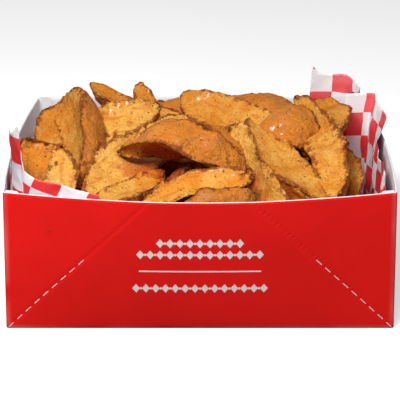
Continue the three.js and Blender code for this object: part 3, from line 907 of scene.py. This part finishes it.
def wedge_mesh(wedge, steps, seed):
    """One wedge as points, faces and the numbers that its colours follow."""
    start = Vector(wedge["start"]) / 1000
    end = Vector(wedge["end"]) / 1000
    radius = wedge["radius"] / 1000
    count, around = steps
    along, skinward, aside = rolled_axes(start, end, wedge["roll"])
    middle = np.array((start + end) / 2)
    half_length = (end - start).length / 2
    station = np.sin(np.linspace(-math.pi / 2, math.pi / 2, count + 2))[1:-1]
    blunt = np.where(station < 0, wedge["blunt"][0], wedge["blunt"][1])
    girth = radius * (1 - np.abs(station) ** blunt) ** TIP_TAPER
    girth *= 1 + 0.06 * wander(station, seed)
    arch = 1 - station**2
    section, skin, to_edge, to_ridge = wedge_section(math.radians(wedge["angle"]) / 2, around)
    twist = math.radians(7) * wander(station, seed + 1)
    twist += math.radians(wedge["turn"]) / 2 * station
    across = section[None, :, 0] * girth[:, None] * (1 + 0.05 * wander(station, seed + 2))[:, None]
    out = section[None, :, 1] * girth[:, None]
    shifted = out - TWIST_AXIS * girth[:, None]
    turned_across = across * np.cos(twist)[:, None] + shifted * np.sin(twist)[:, None]
    turned_out = shifted * np.cos(twist)[:, None] - across * np.sin(twist)[:, None]
    turned_out += TWIST_AXIS * girth[:, None]
    ridge = radius * (RIDGE_RISE * np.abs(station) ** 3 - RIDGE_DEPTH)
    sway = 0.0012 * wander(station, seed + 3)
    lift = ridge + wedge["bend"] / 1000 * arch
    points = (
        middle
        + (station * half_length)[:, None, None] * along
        + (turned_across + sway[:, None])[:, :, None] * aside
        + (turned_out + lift[:, None])[:, :, None] * skinward
    )

    # Relief along the surface's own normals, each line a depth times lumps of one size: broad
    # dents, blisters, ridged crust, grain and beads along the edges.
    round_step = np.roll(points, -1, 1) - np.roll(points, 1, 1)
    long_step = np.gradient(points, axis=0)
    normal = np.cross(round_step, long_step)
    normal /= np.maximum(np.linalg.norm(normal, axis=2, keepdims=True), 1e-9)
    flat = points.reshape(-1, 3)
    edge_near = np.exp(-((to_edge * radius / EDGE_REACH) ** 2))
    ridge_near = np.exp(-((to_ridge * radius / RIDGE_REACH) ** 2))
    edge = np.broadcast_to(np.maximum(edge_near, 0.7 * ridge_near), points.shape[:2]).ravel()
    tip = np.broadcast_to((np.abs(station) ** 5)[:, None], points.shape[:2]).ravel()
    on_skin = np.broadcast_to(skin, points.shape[:2]).ravel()
    rough = 0.45 + 0.6 * edge + 0.9 * tip + 0.4 * on_skin
    relief = 0.0016 * lumps(flat, 0.024, seed + 21)
    relief += (0.5 + 0.5 * on_skin) * 0.0010 * lumps(flat, 0.011, seed)
    relief += (0.4 + 0.6 * on_skin) * 0.0007 * lumps(flat, 0.0058, seed + 5)
    relief += rough * 0.0005 * (0.5 - 2 * np.abs(lumps(flat, 0.0042, seed + 13)))
    relief += rough * 0.0003 * lumps(flat, 0.0021, seed + 9)
    relief += edge * 0.0006 * (0.5 + lumps(flat, 0.0036, seed + 17))
    points = keep_inside(flat + normal.reshape(-1, 3) * relief[:, None])
    rings = list(points.reshape(count, around, 3))
    first = middle - along * half_length + skinward * ridge[0]
    last = middle + along * half_length + skinward * ridge[-1]
    points, faces = loft(rings, first, last)
    streak = np.stack([
        np.broadcast_to((station * half_length)[:, None], across.shape),
        across,
        out,
    ], -1).reshape(-1, 3)
    notes = {
        "skin": np.concatenate([on_skin, [0.5, 0.5]]),
        "edge": np.concatenate([edge, [1, 1]]),
        "tip": np.concatenate([tip, [1, 1]]),
        "tone": np.full(len(points), random.Random(seed).random()),
        "pale": np.full(len(points), wedge["pale"]),
        "streak": np.concatenate([streak, [[0, 0, 0], [0, 0, 0]]]),
    }
    return points, faces, notes


def wedge(start, end, radius, angle, roll, bend=0, turn=0, pale=0.3, blunt=(2.1, 2.1)):
    """One row of the heap, in millimetres and degrees. turn is how far its roll changes from
    start to end, and pale how light its cut faces are."""
    return locals()


LEFT_WEDGES = (
    wedge((-76, 30, 92), (-60, -54, 73), 26, 76, 66, bend=3, pale=0.45),
    wedge((-90, -42, 90), (-88, -76, 54), 22, 80, 146, pale=-0.3, blunt=(9, 2)),
    wedge((-72, -44, 86), (-76, -88, 56), 16, 66, 128, pale=0.9),
    wedge((2, 20, 82), (-62, -78, 66), 30, 70, -102, pale=0.85),
    wedge((-43, -44, 90), (27, -56, 79), 22, 60, -28, bend=8, turn=-40, pale=0.4),
    wedge((-56, -80, 66), (-17, -58, 76), 18, 66, -136, pale=0.45),
    wedge((-32, -76, 62), (2, -48, 80), 17, 70, -100, pale=0.1),
)
RIGHT_WEDGES = (
    wedge((-31, -82, 67), (25, -64, 78), 19, 72, 100, pale=0.4),
    wedge((-14, -88, 62), (29, -78, 75), 16, 66, -60, pale=0.5),
    wedge((20, -8, 84), (46, -84, 58), 25, 74, 184, pale=0.75),
    wedge((27, 4, 86), (64, -80, 64), 21, 70, -124, pale=0.45),
    wedge((61, 34, 91), (72, -74, 69), 19, 76, 104, pale=0.5, blunt=(2.1, 4)),
    wedge((81, -6, 75), (79, -66, 56), 15, 70, 120, pale=0.3),
)
MIDDLE_WEDGES = (
    wedge((-70, 40, 88), (-90, -22, 72), 20, 76, -104, pale=0.3),
    wedge((-10, 26, 91), (43, -9, 84), 24, 74, -166, pale=0.35),
    wedge((14, 44, 89), (60, -22, 80), 26, 74, -14, pale=0.4, blunt=(2.1, 4)),
    wedge((70, 44, 86), (83, 8, 80), 15, 70, 108, pale=0.3),
)
BACK_WEDGES = (
    wedge((-67, 56, 91), (-32, 40, 78), 15, 72, -140, pale=0.25),
    wedge((-38, 56, 92), (-24, 30, 70), 14, 72, -130, pale=0.25),
    wedge((-28, 44, 80), (6, 34, 78), 18, 66, -20, pale=0.9),
    wedge((-64, 4, 84), (-22, 2, 90), 24, 72, -164, pale=0.65),
    wedge((-66, 36, 82), (-54, -26, 74), 24, 66, 120, pale=0.8),
    wedge((-46, 26, 85), (-6, 8, 80), 19, 70, 86, pale=0.35),
    wedge((2, 8, 78), (30, -34, 74), 22, 70, 30, pale=0.2),
)
LOWER_WEDGES = (
    wedge((-88, 26, 58), (-60, 66, 62), 26, 72, 40),
    wedge((-60, 58, 64), (0, 54, 68), 25, 72, -50),
    wedge((2, 66, 62), (60, 62, 58), 26, 72, 50),
    wedge((14, 54, 68), (66, 48, 64), 25, 70, -60),
    wedge((76, 60, 62), (75, 14, 66), 24, 72, 30),
    wedge((-90, -4, 56), (-84, 46, 56), 24, 70, -60),
    wedge((78, -24, 54), (80, -76, 50), 24, 70, 20),
    wedge((-30, -10, 66), (26, -30, 62), 26, 74, 10),
    wedge((-90, -38, 54), (-40, -72, 50), 26, 74, 10),
    wedge((-20, -80, 42), (50, -76, 46), 26, 74, 170),
    wedge((20, 10, 62), (70, 30, 60), 26, 74, 40),
    wedge((-66, 8, 66), (-20, 46, 68), 26, 74, -40),
)


GOLDEN = (0.62, 0.205, 0.011, 1)
PALE_POTATO = (0.74, 0.375, 0.066, 1)
AMBER = (0.50, 0.130, 0.007, 1)
TAN_SKIN = (0.52, 0.165, 0.020, 1)
MAUVE_SKIN = (0.45, 0.15, 0.045, 1)
CRUST = (0.22, 0.042, 0.0035, 1)
BURNT = (0.075, 0.013, 0.002, 1)
# Painted shade: the tint below darkens the gaps between wedges.
HOLLOW_TINT = (0.66, 0.25, 0.10, 1)  # what the gaps between wedges are dimmed by


def fried_potato():
    """Golden cut faces, amber skin, a grainy crust that browns on edges and ends, and oil."""
    material, shader, surface = new_material(
        "fried_potato", Coat_Roughness=0.2, Specular_IOR_Level=0.25
    )
    links = shader.tree.links
    place = shader.add("ShaderNodeTexCoord").outputs["Object"]
    skin, edge, tip, tone, pale, deep = (
        shader.attribute(name).outputs["Fac"]
        for name in ("skin", "edge", "tip", "tone", "pale", "deep")
    )
    streak = shader.attribute("streak").outputs["Vector"]
    stretched = shader.add(
        "ShaderNodeMapping", {"Vector": streak}, {"Scale": (50.0, 330.0, 330.0)}
    ).outputs[0]
    broad = shader.noise(place, 75.0, 3.0, 0.55, 0.6)
    patch = shader.noise(place, 240.0, 4.0, 0.6, 0.5)
    grain = shader.noise(place, 760.0, 4.0, 0.65, 0.2)
    strands = shader.noise(stretched, 1.0, 4.0, 0.62, 0.6)

    light = shader.math("ADD", shader.spread(broad, 0.38, 0.62, -0.4, 0.4), pale, True)
    cut = shader.mix(light, GOLDEN, PALE_POTATO)
    cut = shader.mix(shader.spread(strands, 0.52, 0.64, 0.0, 0.6), cut, AMBER)
    cut = shader.mix(shader.spread(patch, 0.56, 0.68, 0.0, 0.5), cut, AMBER)
    rind = shader.mix(shader.spread(patch, 0.42, 0.58), AMBER, TAN_SKIN)
    rind = shader.mix(shader.spread(broad, 0.50, 0.60, 0.0, 0.6), rind, MAUVE_SKIN)
    rind = shader.mix(shader.spread(strands, 0.46, 0.58, 0.0, 0.7), rind, GOLDEN)
    color = shader.mix(shader.math("MULTIPLY", skin, 0.92), cut, rind)

    uneven = shader.math("ADD", shader.spread(patch, 0.38, 0.62, -0.4, 0.4),
                         shader.spread(grain, 0.35, 0.65, -0.2, 0.2))
    browned = shader.math("ADD", edge, uneven)
    color = shader.mix(shader.spread(browned, 0.44, 0.92, 0.0, 0.92), color, CRUST)
    ends = shader.math("ADD", tip, uneven)
    color = shader.mix(shader.spread(ends, 0.62, 1.2, 0.0, 0.8), color, BURNT)
    pits = shader.spread(grain, 0.64, 0.74, 0.0, 0.45)
    color = shader.mix(pits, color, CRUST)
    shade = shader.spread(tone, 0.0, 1.0, 0.92, 1.06)
    level = shader.math("MULTIPLY", shade, shader.spread(grain, 0.38, 0.60, 1.07, 0.89))
    color = shader.dim(color, level)
    # Painted shade: darker and redder where the point lies deep in the gaps between wedges.
    color = shader.mix(deep, color, shader.mix(1.0, color, HOLLOW_TINT, "MULTIPLY"))
    links.new(color, surface.inputs["Base Color"])

    dull = shader.spread(grain, 0.40, 0.60, 0.34, 0.62)
    links.new(dull, surface.inputs["Roughness"])
    oily = shader.spread(shader.noise(place, 330.0, 2.0), 0.54, 0.66, 0.02, 0.6)
    links.new(oily, surface.inputs["Coat Weight"])
    height = shader.math("SUBTRACT", shader.math("MULTIPLY", patch, 0.9), grain)
    height = shader.math("ADD", height, shader.math("MULTIPLY", strands, 0.25))
    links.new(shader.bump(height, BUMP_DEPTH), surface.inputs["Normal"])
    return material


potato = fried_potato()


def wedge_group(name, rows, steps, seed):
    """Several wedges as one piece."""
    points = []
    faces = []
    notes = {}
    for index, row in enumerate(rows):
        own_points, own_faces, own_notes = wedge_mesh(row, steps, seed + 31 * index)
        first = sum(len(part) for part in points)
        points.append(own_points)
        faces += [[first + corner for corner in face] for face in own_faces]
        for key, values in own_notes.items():
            notes.setdefault(key, []).append(values)
    piece = make_piece(name, np.concatenate(points), faces, [potato])
    for key, parts in notes.items():
        write_attribute(piece, key, np.concatenate(parts))
    return piece


left_wedges = wedge_group("left_wedges", LEFT_WEDGES, FINE_STEPS, 11)
right_wedges = wedge_group("right_wedges", RIGHT_WEDGES, FINE_STEPS, 228)
middle_wedges = wedge_group("middle_wedges", MIDDLE_WEDGES, FINE_STEPS, 503)
back_wedges = wedge_group("back_wedges", BACK_WEDGES, FINE_STEPS, 689)
lower_wedges = wedge_group("lower_wedges", LOWER_WEDGES, PLAIN_STEPS, 907)


# The wedges that lie deeper, out of sight, as one lumpy loaf. Each level up it is a height in
# millimetres and the loaf's size there, as a share of its full width and depth.
CORE_WIDTH = 0.174
CORE_DEPTH = 0.150
CORE_SQUARENESS = 0.5
CORE_LEVELS = ((3, 0.94), (9, 1.0), (30, 1.0), (47, 1.0), (57, 0.88), (63, 0.6), (65, 0.25))


def heap_core():
    angle = np.linspace(0, 2 * math.pi, 160, endpoint=False)
    across = np.sign(np.cos(angle)) * np.abs(np.cos(angle)) ** CORE_SQUARENESS
    deep = np.sign(np.sin(angle)) * np.abs(np.sin(angle)) ** CORE_SQUARENESS
    levels, shares = np.array(CORE_LEVELS).T
    rings = []
    for place in np.linspace(0, len(levels) - 1, 60):
        z = np.interp(place, np.arange(len(levels)), levels) / 1000
        share = np.interp(place, np.arange(len(levels)), shares)
        x = across * share * CORE_WIDTH / 2
        y = deep * share * CORE_DEPTH / 2
        rings.append(np.stack([x, y, np.full_like(x, z)], 1))
    points, faces = loft(rings, (0, 0, 0.003), (0, 0, 0.065))
    inward = points * np.array([1, 1, 0.2])
    inward /= np.maximum(np.linalg.norm(inward, axis=1, keepdims=True), 1e-6)
    high = np.clip(points[:, 2] / 0.03, 0, 1)
    points = points - inward * (0.004 * (1 + lumps(points, 0.02, 3)) * high)[:, None]
    piece = make_piece("heap_core", keep_inside(points), faces, [potato])
    for key, value in (("skin", 0.6), ("edge", 0.3), ("tip", 0.2), ("tone", 0.3), ("pale", 0.0)):
        write_attribute(piece, key, np.full(len(points), value))
    write_attribute(piece, "streak", points)
    return piece


core = heap_core()
showing_wedges = (left_wedges, right_wedges, middle_wedges, back_wedges)
heap_pieces = (*showing_wedges, lower_wedges, core)

# Painted shade: what lies under its neighbours is made darker and redder, standing in for the
# shade and warm bounced light in the gaps. A point is deep where a step along its normal still
# ends below the top of the heap.
GRID = 0.004
GAP_STEPS = (0.005, 0.011)
GAP_DEPTH = 0.014


def mesh_normals(mesh):
    normals = np.zeros(len(mesh.vertices) * 3)
    mesh.vertex_normals.foreach_get("vector", normals)
    return normals.reshape(-1, 3)


def grid_place(points):
    size = int(BASE_WIDTH / GRID) + 8
    cells = np.floor(points[:, :2] / GRID).astype(int) + size // 2
    return tuple(np.clip(cells, 0, size - 1).T), size


def mark_gaps(pieces):
    everything = np.concatenate([mesh_points(piece.data) for piece in pieces])
    cells, size = grid_place(everything)
    top = np.zeros((size, size))
    np.maximum.at(top, cells, everything[:, 2])
    for piece in pieces:
        points = mesh_points(piece.data)
        normals = mesh_normals(piece.data)
        covered = np.zeros(len(points))
        for step in GAP_STEPS:
            moved = points + normals * step
            over = top[grid_place(moved)[0]] - moved[:, 2]
            covered += np.clip(over / GAP_DEPTH, 0, 1) / len(GAP_STEPS)
        write_attribute(piece, "deep", covered)


mark_gaps(heap_pieces)
for piece in heap_pieces:
    finish_piece(piece, "fried_potato", "wedge_heap")


# ---------------------------------------------------------------- seasoning
# Coarse ground pepper, dried green herb and crumbs of fried flour, scattered over the wedges that
# show. Every bit is a small solid, sunk a little into the surface that it sticks to.

SHOWING_ABOVE = 0.060  # the seasoning lies only on what is higher than this
SMALLEST_SHARE = 0.45  # of the mean size
LARGEST_SHARE = 1.6
# Each kind: bits for each square metre, mean size, flatness and colour.
PEPPER = (9000, 0.00075, 0.7, (0.022, 0.011, 0.006, 1))
HERB = (3500, 0.00105, 0.35, (0.055, 0.040, 0.010, 1))
CRUMB = (26000, 0.0010, 0.7, (0.34, 0.10, 0.012, 1))


def scatter_tree(material):
    """Geometry Nodes: rough bits spread over the faces of a mesh, turned and sized at random."""
    tree, nodes, given = geometry_tree(
        "scatter", Density="Float", Seed="Int", Size="Float", Flatness="Float", Lowest="Float"
    )
    place = nodes.add("GeometryNodeInputPosition")
    height = nodes.add("ShaderNodeSeparateXYZ", {0: place.outputs[0]})
    showing = nodes.add("FunctionNodeCompare", {0: height.outputs["Z"], 1: given["Lowest"]},
                        data_type="FLOAT", operation="GREATER_THAN")
    spots = nodes.add(
        "GeometryNodeDistributePointsOnFaces",
        {
            "Mesh": given["Geometry"],
            "Selection": showing.outputs[0],
            "Density": given["Density"],
            "Seed": given["Seed"],
        },
    )
    bit = nodes.add("GeometryNodeMeshIcoSphere", {}, {"Radius": 0.5, "Subdivisions": 1})
    squash = nodes.add("ShaderNodeCombineXYZ", {"Z": given["Flatness"]}, {"X": 1.0, "Y": 0.75})
    flat = nodes.add("GeometryNodeTransform",
                     {"Geometry": bit.outputs["Mesh"], "Scale": squash.outputs[0]})
    spin = nodes.add("FunctionNodeRandomValue", {"Seed": given["Seed"]}, data_type="FLOAT")
    spin.inputs["Max"].default_value = 2 * math.pi
    around = nodes.add("ShaderNodeCombineXYZ", {"Z": spin.outputs[1]})
    turned = nodes.add("FunctionNodeRotateRotation",
                       {0: spots.outputs["Rotation"], 1: around.outputs[0]},
                       rotation_space="LOCAL")
    share = nodes.add("FunctionNodeRandomValue", {"Seed": given["Seed"]}, data_type="FLOAT")
    share.inputs["Min"].default_value = SMALLEST_SHARE
    share.inputs["Max"].default_value = LARGEST_SHARE
    size = nodes.math("MULTIPLY", share.outputs[1], given["Size"])
    placed = nodes.add(
        "GeometryNodeInstanceOnPoints",
        {
            "Points": spots.outputs["Points"],
            "Instance": flat.outputs["Geometry"],
            "Rotation": turned.outputs[0],
            "Scale": size,
        },
    )
    end_tree(nodes, placed.outputs["Instances"], material)
    return tree


def seasoning_material(name, color, roughness):
    material, shader, surface = new_material(name, Roughness=roughness, Specular_IOR_Level=0.3)
    place = shader.add("ShaderNodeTexCoord").outputs["Object"]
    tint = shader.noise(place, 900.0, 2.0)
    paler = tuple(min(1.0, 1.9 * part) for part in color[:3]) + (1,)
    mixed = shader.mix(shader.spread(tint, 0.35, 0.65), color, paler)
    shader.tree.links.new(mixed, surface.inputs["Base Color"])
    fine = shader.noise(place, 3000.0, 2.0)
    shader.tree.links.new(shader.bump(fine, 0.0001), surface.inputs["Normal"])
    return material


def scatter(name, kind, seed, roughness=0.6):
    """One kind of bit over the wedges that show, as one plain mesh."""
    density, size, flatness, color = kind
    material = seasoning_material(name + "_bits", color, roughness)
    tree = scatter_tree(material)
    points = []
    faces = []
    for index, wedges in enumerate(showing_wedges):
        values = {
            "Density": float(density), "Seed": seed + index, "Size": size,
            "Flatness": flatness, "Lowest": SHOWING_ABOVE,
        }
        own_points, own_faces = mesh_arrays(grown_mesh(tree, values, wedges.data))
        faces += [[len(points) + corner for corner in face] for face in own_faces]
        points += own_points.tolist()
    piece = make_piece(name, points, faces, [material], smooth=False)
    finish_piece(piece, "fried_potato")


scatter("pepper_flecks", PEPPER, 3)
scatter("herb_specks", HERB, 17, 0.8)
scatter("flour_crumbs", CRUMB, 29)


# ---------------------------------------------------------------- stage
# A plain pale floor, a soft key light above and to the left, and a smaller light close over the
# front rim, under an even white sky.

FLOOR_SIZE = 8.0
FLOOR_SEEN = (0.97, 0.97, 0.97, 1)
FLOOR_BOUNCE = (0.16, 0.16, 0.16, 1)


def floor_sheet():
    """Pale to the camera, but dull to what it lights, as a wide studio table is."""
    material, shader, surface = new_material("pale_floor", Roughness=0.9, Specular_IOR_Level=0.1)
    seen = shader.add("ShaderNodeLightPath").outputs["Is Camera Ray"]
    color = shader.mix(seen, FLOOR_BOUNCE, FLOOR_SEEN)
    shader.tree.links.new(color, surface.inputs["Base Color"])
    shader.tree.links.new(shader.math("MULTIPLY", seen, 0.45), surface.inputs["Emission Strength"])
    surface.inputs["Emission Color"].default_value = (1, 1, 1, 1)
    half = FLOOR_SIZE / 2
    corners = [(-half, -half, 0), (half, -half, 0), (half, half, 0), (-half, half, 0)]
    floor = make_piece("floor", corners, [[0, 1, 2, 3]], [material], smooth=False)
    floor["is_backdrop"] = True


def area_light(name, place, target, size, power):
    light = bpy.data.lights.new(name, "AREA")
    light.shape = "RECTANGLE"
    light.size, light.size_y = size
    light.energy = power
    lamp = bpy.data.objects.new(name, light)
    lamp.location = place
    direction = Vector(target) - Vector(place)
    lamp.rotation_euler = direction.to_track_quat("-Z", "Y").to_euler()
    bpy.context.scene.collection.objects.link(lamp)


floor_sheet()
area_light("key", (-0.38, -0.62, 0.95), (0, 0, 0.05), (0.24, 0.24), 8.6)
area_light("overhead", (-0.03, -0.27, 0.36), (0, -0.03, 0.08), (0.22, 0.14), 1.15)
world = bpy.data.worlds.new("studio")
world.use_nodes = True
world.node_tree.nodes["Background"].inputs["Color"].default_value = (1, 1, 1, 1)
world.node_tree.nodes["Background"].inputs["Strength"].default_value = 0.20
bpy.context.scene.world = world
bpy.context.scene.view_settings.view_transform = "Standard"

# The camera stands in front of the carton and looks down on it, as the photograph does.
PHOTO_WIDTH = 400
FOCAL_PIXELS = 1363
LOOK_DOWN = 21.26
camera_data = bpy.data.cameras.new("camera")
camera_data.sensor_width = 36.0
camera_data.lens = FOCAL_PIXELS / PHOTO_WIDTH * camera_data.sensor_width
camera = bpy.data.objects.new("camera", camera_data)
camera.location = (0, -0.7296, 0.3247)
camera.rotation_euler = (math.radians(90 - LOOK_DOWN), 0, 0)
bpy.context.scene.collection.objects.link(camera)
bpy.context.scene.camera = camera

low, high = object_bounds()
